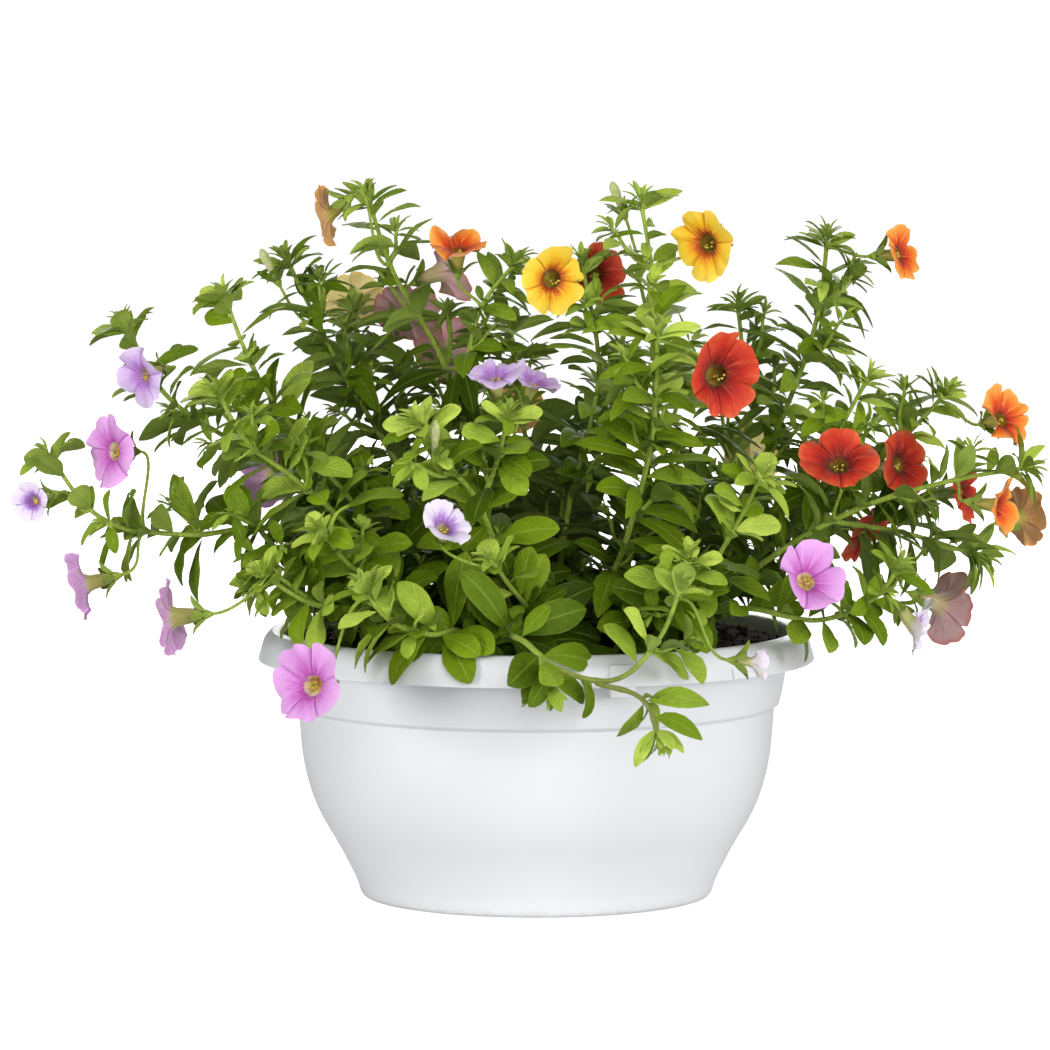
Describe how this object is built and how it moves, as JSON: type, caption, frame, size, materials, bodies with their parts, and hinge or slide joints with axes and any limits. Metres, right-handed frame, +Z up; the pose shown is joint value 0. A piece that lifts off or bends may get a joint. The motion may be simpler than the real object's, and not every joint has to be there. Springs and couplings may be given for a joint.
{
  "type": "potted calibrachoa",
  "caption": "Trailing calibrachoa in mixed flower colours, planted in a round white bowl pot with a down-turned rim. It stands on its flat foot.",
  "frame": {"origin": "centre of the pot's flat foot, on the surface it stands on", "axes": "+Z up, the fullest flowering side faces -Y, +X to its right"},
  "size_m": [0.4588, 0.3812, 0.3225],
  "materials": {
    "petal_lilac": "soft petal, velvety, fine darker veins",
    "petal_orange": "soft petal, velvety, fine darker veins",
    "petal_pink": "soft petal, velvety, fine darker veins",
    "petal_red": "soft petal, velvety, fine darker veins",
    "petal_white": "soft petal, velvety, fine darker veins",
    "petal_yellow": "soft petal, velvety, fine darker veins",
    "pot_plastic": "smooth moulded white plastic, satin gloss",
    "potting_soil": "crumbly dark peat with bark fibres, fully matte",
    "leaf_green_mid": "soft leaf and stem, fine short hairs, low sheen",
    "leaf_green_deep": "soft leaf and stem, fine short hairs, low sheen",
    "leaf_green_bright": "soft leaf and stem, fine short hairs, low sheen"
  },
  "bodies": {
    "root": {"bloom_lilac_back": "petal_lilac", "bloom_lilac_left": "petal_lilac", "bloom_lilac_middle": "petal_lilac", "bloom_lilac_middle_right": "petal_lilac", "bloom_orange_back": "petal_orange", "bloom_orange_edge": "petal_orange", "bloom_orange_far_right": "petal_orange", "bloom_orange_tall_left": "petal_orange", "bloom_orange_tall_right": "petal_orange", "bloom_orange_top": "petal_orange", "bloom_orange_turned": "petal_orange", "bloom_pink_back_left": "petal_pink", "bloom_pink_edge": "petal_pink", "bloom_pink_left": "petal_pink", "bloom_pink_low_left": "petal_pink", "bloom_pink_right": "petal_pink", "bloom_pink_rim": "petal_pink", "bloom_red_back": "petal_red", "bloom_red_back_left": "petal_red", "bloom_red_behind_yellow": "petal_red", "bloom_red_far_right": "petal_red", "bloom_red_front": "petal_red", "bloom_red_low": "petal_red", "bloom_red_right": "petal_red", "bloom_red_right_behind": "petal_red", "bloom_red_top": "petal_red", "bloom_red_turned": "petal_red", "bloom_white_far_left": "petal_white", "bloom_white_middle": "petal_white", "bloom_white_right": "petal_white", "bloom_white_rim": "petal_white", "bloom_yellow_back_left": "petal_yellow", "bloom_yellow_back_right": "petal_yellow", "bloom_yellow_right": "petal_yellow", "bloom_yellow_top": "petal_yellow", "pot": "pot_plastic", "soil": "potting_soil", "stem_back_far_left": "leaf_green_mid", "stem_back_left": "leaf_green_deep", "stem_back_middle": "leaf_green_mid", "stem_back_right": "leaf_green_mid", "stem_back_trailer": "leaf_green_bright", "stem_centre_left": "leaf_green_bright", "stem_centre_right": "leaf_green_bright", "stem_far_left": "leaf_green_mid", "stem_far_left_high": "leaf_green_mid", "stem_far_right": "leaf_green_mid", "stem_front_left": "leaf_green_bright", "stem_front_middle": "leaf_green_bright", "stem_left_front": "leaf_green_bright", "stem_left_middle": "leaf_green_bright", "stem_left_tall": "leaf_green_bright", "stem_low_right": "leaf_green_mid", "stem_right_arm": "leaf_green_bright", "stem_right_front": "leaf_green_bright", "stem_rim_trailer": "leaf_green_mid", "stem_tall_left": "leaf_green_mid", "stem_tall_middle": "leaf_green_bright", "stem_tall_right": "leaf_green_mid", "stem_upright": "leaf_green_mid"}
  },
  "joints": []
}
